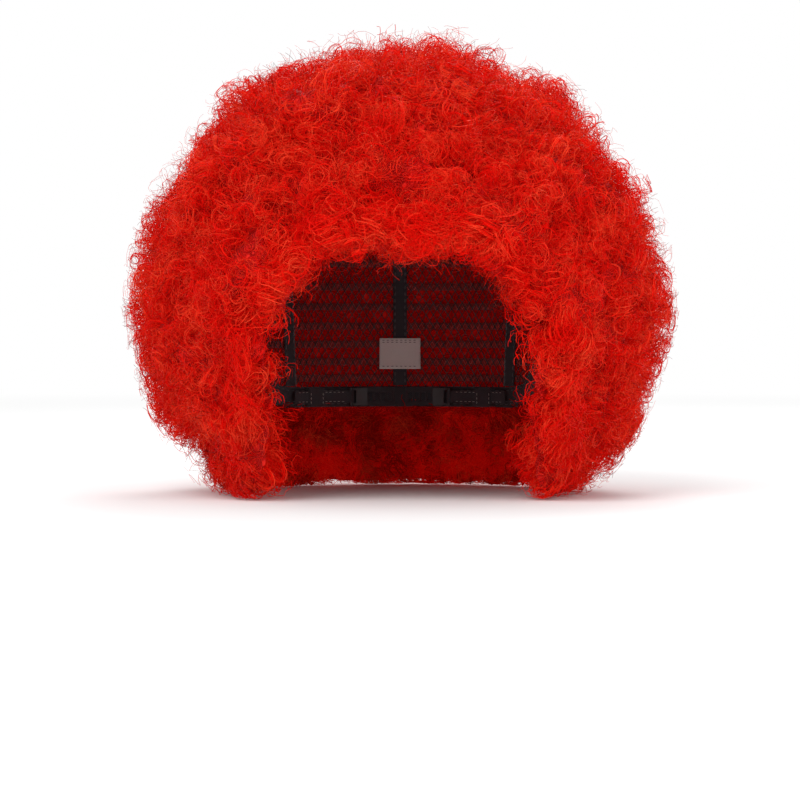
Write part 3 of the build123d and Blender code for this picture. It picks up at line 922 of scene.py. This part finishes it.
def ribs_and_crown():
    """Eight elastic ribs, the patch where they meet, and the stitching that holds them to the net."""
    names = ["left", "back_left", "back", "back_right", "right", "front_right", "front", "front_left"]
    lines = []
    top = math.acos(CROWN_RADIUS / DOME_RADIUS)
    for i, name in enumerate(names):
        azimuth = i * TAU / len(names)
        first = above_hem(azimuth, np.linspace(LOWEST_CLIMB, top, 900), BAND_WIDTH + 0.3)
        climb = np.linspace(first, top, max(24, int((top - first) * 40)))
        z = z_at(climb)[:, None]
        across = np.linspace(-RIB_HALF_WIDTH, RIB_HALF_WIDTH, 11)[None, :]
        spread = azimuth + across / dome_radius(z)
        level = z + 0 * across
        cloth(f"rib_cloth_{name}", spread, level, RIB_LAYER, elastic_look, f"rib_{name}", 0.07)
        for edge in (-2.9, 2.9):
            beside = azimuth + edge / dome_radius(z[:, 0])
            lines.append(seat(beside, z[:, 0], RIB_STITCH_HEIGHT + 0 * climb))
    soften("crown_patch", 0.45, elastic_look, "cap")
    turn = np.linspace(0, TAU, 120)
    for r in (5.0, 9.0, 13.0, 15.4):
        z = CENTRE[2] + math.sqrt(DOME_RADIUS**2 - r * r)
        lines.append(seat(turn, z + 0 * turn, BAND_STITCH_HEIGHT + 0 * turn))
    stitches("stitches_ribs", lines, "cap")


def bands():
    """The elastic round the hem, its rows of stitching, and the lining at the forehead."""
    for node in ("front_band", "nape_band"):
        soften(node, 0.7, elastic_look, "cap", 4)
    lines = []
    for side in (1, -1):
        for inset in (1.9, 3.4, 9.6):
            for span in ((-90, BAND_JOIN_Y - 1.2), (BAND_JOIN_Y + 1.2, 90)):
                azimuth, z = hem_line(inset, span, 160, side)
                lines.append(seat(azimuth, z, BAND_STITCH_HEIGHT + 0 * z))
    stitches("stitches_bands", lines, "cap")
    turns, heights = [], []
    for inset in np.linspace(1.2, 10.8, 9):
        left, z = hem_line(inset, (-90, -52), 70, 1)
        right, _ = hem_line(inset, (-90, -52), 70, -1)
        turns.append(np.unwrap(np.concatenate([left[::-1], right[1:]])))
        heights.append(np.concatenate([z[::-1], z[1:]]))
    turns, heights = np.array(turns).T, np.array(heights).T
    cloth("lining_cloth", turns, heights, LINING_LAYER, lining_look, "forehead_lining", 0.05)


def weft_spans():
    """Each weft's node, its angle above the centre's level, and the azimuths where it starts and ends."""
    spans = []
    for number, angle in enumerate(TRACK_ANGLES, start=1):
        node = f"weft_track_{number:02d}"
        start, end = 0.0, TAU
        if number <= OPEN_ROWS:
            middle = float(dome_radius(z_at(np.array(math.radians(angle))))) + sum(WEFT_LAYER) / 2
            start = math.asin(max(-1.0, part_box(node)[0][1] / MM / middle))
            end = math.pi - start
        spans.append((node, angle, start, end))
    spans.append(("fringe_track", FRINGE_TRACK_ANGLE, *(math.radians(turn) for turn in FRINGE_TRACK_TURN)))
    return spans


def wefts():
    """Ribbon wefts outside the net, each sewn down with a zigzag of thread."""
    half = TRACK_HALF_WIDTH / DOME_RADIUS
    zigzags = []
    for node, angle, start, end in weft_spans():
        closed = end - start > TAU - 1e-6
        steps = 150 if closed else max(60, int((end - start) * 26))
        turn = np.linspace(start, end, steps, endpoint=not closed)[:, None]
        rise = math.radians(angle) + np.linspace(-half, half, 7)[None, :]
        z = z_at(rise) + 0 * turn
        cloth(f"cloth_{node}", turn + 0 * z, z, WEFT_LAYER, weft_look, node, 0.12, closed)
        count = int((end - start) * DOME_RADIUS / 1.6)
        fine = np.linspace(start, end, count)
        swing = np.where(np.arange(count) % 2 == 0, 1.0, -1.0) * half * 0.72
        zigzags.append(seat(fine, z_at(math.radians(angle) + swing), ZIGZAG_HEIGHT + 0 * fine))
    longest = max(len(line) for line in zigzags)
    picks = [np.linspace(0, len(line) - 1, longest).round().astype(int) for line in zigzags]
    paths = np.stack([line[pick] for line, pick in zip(zigzags, picks)])
    paths += rng.normal(0, 0.02, paths.shape)
    hint = unit(CENTRE - paths)
    points, quads, uv = tubes(paths, np.full(paths.shape[:2], 0.2), hint, 4)
    assign(make_mesh("weft_zigzags", points, quads, red_thread_look, uv), "cap")


def net():
    """The open stretch mesh: two sets of cords that climb from the hem to the crown and cross."""
    top = math.acos(16.0 / DOME_RADIUS)
    steps, cords, twist = 64, 132, 0.62
    wave = 0.12 * np.sin(np.arange(steps) * math.pi / 2)
    coarse = np.linspace(LOWEST_CLIMB, top, 700)
    paths = []
    for hand in (-1, 1):
        for i in range(cords):
            start = TAU * i / cords
            first = above_hem(start + hand * twist * coarse, coarse, 8.0)
            climb = np.linspace(first, top, steps)
            paths.append(seat(start + hand * twist * climb, z_at(climb), NET_HEIGHT + hand * wave))
    paths = np.array(paths)
    hint = unit(paths - CENTRE)
    points, quads, uv = tubes(paths, np.full(paths.shape[:2], 0.26), hint, 4)
    assign(make_mesh("net_cords", points, quads, net_look, uv), "cap", "cap_net")


def tab_hinge(side):
    """The middle of an ear tab's hinge, the hinge's direction and the way out of the cap."""
    joint = next(j for j in frame["joints"] if j["name"] == f"ear_tab_{side}_fold")
    middle = np.array(joint["pos_m"]) / MM
    along = np.array(joint["axis"], float)
    outward = unit(np.array([middle[0], middle[1], 0.0]))
    return middle, along, outward


TAB_FACE = 0.95  # how far each face of a tab is from its middle plane


def ear_tabs():
    """The two tabs in front of the ears, stitched round near their edges."""
    corner, radius, top = (3.0, 17.0), 5.2, 2.5
    across = corner[0] + radius
    for side in ("left", "right"):
        body = f"ear_tab_{side}"
        soften(f"ear_tab_{side}", 0.5, tab_look, body, 4)
        middle, along, outward = tab_hinge(side)
        down = np.array([0, 0, -1.0])
        turn = np.linspace(0, math.pi / 2, 12)
        bends = [(corner[0] + radius * math.cos(a), corner[1] + radius * math.sin(a)) for a in turn]
        loop = [(-across, top)] + [(-a, d) for a, d in bends] + bends[::-1] + [(across, top)]
        lines = []
        for face in (-TAB_FACE, TAB_FACE):
            lines.append(np.array([middle + along * a + down * d + outward * face for a, d in loop]))
        stitches(f"stitches_tab_{side}", lines, body, pale_thread_look, 1.9, 1.2, 0.2)
        flex_strip(side, middle, along, outward)


def flex_strip(side, middle, along, outward):
    """A soft tape that joins the tab to the band."""
    rows, columns = 21, 15
    half_width, half_height, thickness = 9.0, 4.6, 0.5
    points = []
    for face in (-TAB_FACE - thickness, -TAB_FACE):
        for rise in np.linspace(half_height, -half_height, rows):
            for a in np.linspace(-half_width, half_width, columns):
                bow = face - (0.5 * (a / half_width) ** 2 if rise > 0 else 0.0)
                points.append(middle + along * a + np.array([0, 0, rise]) + outward * bow)
    points, quads = np.array(points), sheet_quads(rows, columns)
    local = np.stack([(points - middle) @ along, points[:, 2]], -1)
    piece = make_mesh(f"tab_flex_{side}", points, quads, tab_look, local[quads.ravel()])
    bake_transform(piece)


def nape_line(radius, degrees, z):
    """Places at a radius from the cap's axis, at angles measured from +X towards the back."""
    angles = np.radians(degrees)
    return np.stack([radius * np.cos(angles) + 0 * z, radius * np.sin(angles) + 0 * z, z + 0 * angles], -1)


def adjusters():
    """The slotted tapes, straps and sleeves at the nape with their stitching, and the hooks' plastic."""
    for side, way in (("left", 1), ("right", -1)):
        soften(f"slot_tape_{side}", 0.28, elastic_look, "cap", 2)
        soften(f"strap_sleeve_{side}", 0.35, elastic_look, "cap", 3)
        soften(f"adjuster_strap_{side}", 0.24, elastic_look, f"adjuster_{side}", 2)
        strap = 90 - way * np.linspace(22.0, 45.4, 60)
        lines = [nape_line(STRAP_FACE_RADIUS, strap, STRAP_Z + height) for height in (-2.7, 2.7)]
        stitches(f"stitches_strap_{side}", lines, f"adjuster_{side}", pale_thread_look, 1.6, 1.1, 0.12)
        heights = STRAP_Z + np.linspace(-4.8, 4.8, 30)
        lines = [nape_line(SLEEVE_FACE_RADIUS, 90 - way * edge, heights) for edge in SLEEVE_EDGES]
        stitches(f"stitches_sleeve_{side}", lines, "cap", pale_thread_look, 1.5, 0.9, 0.14)
        hook = frame["nodes"][f"strap_hook_{side}"]
        hook.data.materials.clear()
        hook.data.materials.append(plastic_look)


def label():
    """A blank satin label that curls a little, stitched twice at its top and once at its foot."""
    low, high = (corner / MM for corner in np.array(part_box("care_label")))
    rows, columns = 25, 31
    back_y, thickness = 88.28, 0.28
    width, height = high[0] - low[0], high[2] - low[2]
    points = []
    for face in (0, 1):
        for down in np.linspace(0, 1, rows):
            for across in np.linspace(-1, 1, columns):
                curl = 0.9 * down**2 * abs(across) ** 2.5 + 0.25 * down * (1 - across**2)
                y = back_y - down * height * TAPER - curl - face * thickness
                points.append((across * width / 2, y, high[2] - down * height))
    points, quads = np.array(points), sheet_quads(rows, columns)
    piece = make_mesh("label_satin", points, quads, label_look, points[quads.ravel()][:, [0, 2]])
    assign(piece, "label", "care_label")
    lines = []
    for drop, y in ((1.2, 87.88), (2.4, 87.80), (height - 1.6, 86.2)):
        lines.append(np.array([(x, y, high[2] - drop) for x in np.linspace(-11.5, 11.5, 40)]))
    stitches("stitches_label", lines, "label", thread_look, 1.6, 1.0, 0.2)


ribs_and_crown()
bands()
wefts()
net()
ear_tabs()
adjusters()
label()


# ---------------- stage, light and camera


SKY_LIGHT = 0.75  # how strongly the sky lights the wig
SKY_SEEN = 1.0  # how bright the sky looks to the camera
FLOOR_HALF = 16


def stage_material():
    """White paper that fades with distance into the same white as the sky, so that no horizon shows."""
    m = Nodes("studio_paper")
    m.set(Base_Color=m.mix(m.noise(3.0, 2.0), (0.86, 0.86, 0.86), (0.90, 0.90, 0.90)), Roughness=0.9)
    away = m.add("ShaderNodeVectorMath", {0: m.position()}, operation="LENGTH").outputs["Value"]
    reach = {"Value": away, "From Min": 0.8, "From Max": 2.6}
    fade = m.add("ShaderNodeMapRange", reach, interpolation_type="SMOOTHSTEP").outputs["Result"]
    glow = m.add("ShaderNodeEmission", {"Strength": SKY_SEEN}).outputs[0]
    mixed = m.add("ShaderNodeMixShader", {0: fade, 1: m.shader.outputs[0], 2: glow}).outputs[0]
    m.put(m.tree.nodes["Material Output"].inputs["Surface"], mixed)
    return m.material


def make_stage():
    """A wide pale floor."""
    mesh = bpy.data.meshes.new("studio")
    corners = [(x * FLOOR_HALF, y * FLOOR_HALF, 0) for x, y in ((-1, -1), (1, -1), (1, 1), (-1, 1))]
    mesh.from_pydata(corners, [], [(0, 1, 2, 3)])
    mesh.materials.append(stage_material())
    linked("studio", mesh)


def area_light(name, place, size, power):
    """A round soft light that faces the middle of the wig."""
    data = bpy.data.lights.new(name, "AREA")
    data.shape = "DISK"
    data.size = size
    data.energy = power
    lamp = linked(name, data)
    lamp.location = place
    lamp.rotation_euler = (Vector((0, 0, 0.13)) - Vector(place)).to_track_quat("-Z", "Y").to_euler()


def make_light():
    """A white sky and three soft lights."""
    world = bpy.data.worlds.new("studio")
    bpy.context.scene.world = world
    world.use_nodes = True
    tree = world.node_tree
    sky = tree.nodes["Background"]
    sky.inputs["Color"].default_value = (1.0, 1.0, 1.0, 1.0)
    seen = tree.nodes.new("ShaderNodeMapRange")
    tree.links.new(tree.nodes.new("ShaderNodeLightPath").outputs["Is Camera Ray"], seen.inputs["Value"])
    seen.inputs["To Min"].default_value = SKY_LIGHT
    seen.inputs["To Max"].default_value = SKY_SEEN
    tree.links.new(seen.outputs["Result"], sky.inputs["Strength"])
    area_light("key", (-0.7, -1.5, 1.5), 1.3, 26.0)
    area_light("fill", (1.2, -1.4, 0.6), 1.5, 12.0)
    area_light("back", (0.3, 1.4, 1.5), 1.2, 14.0)


def make_camera():
    """At the height of the wearer's eyes, level, as far off as a portrait is taken from."""
    width_seen, distance, eye_z, middle_z = 0.445, 1.7, 0.094, 0.052
    data = bpy.data.cameras.new("camera")
    data.sensor_width = 36.0
    data.lens = 36.0 * distance / width_seen
    data.shift_y = (middle_z - eye_z) / width_seen
    data.clip_end = 50.0
    camera = linked("camera", data)
    camera.location = (0.0, -distance, eye_z)
    camera.rotation_euler = (math.pi / 2, 0, 0)
    bpy.context.scene.camera = camera
    bpy.context.scene.view_settings.view_transform = "Standard"


make_stage()
make_light()
make_camera()
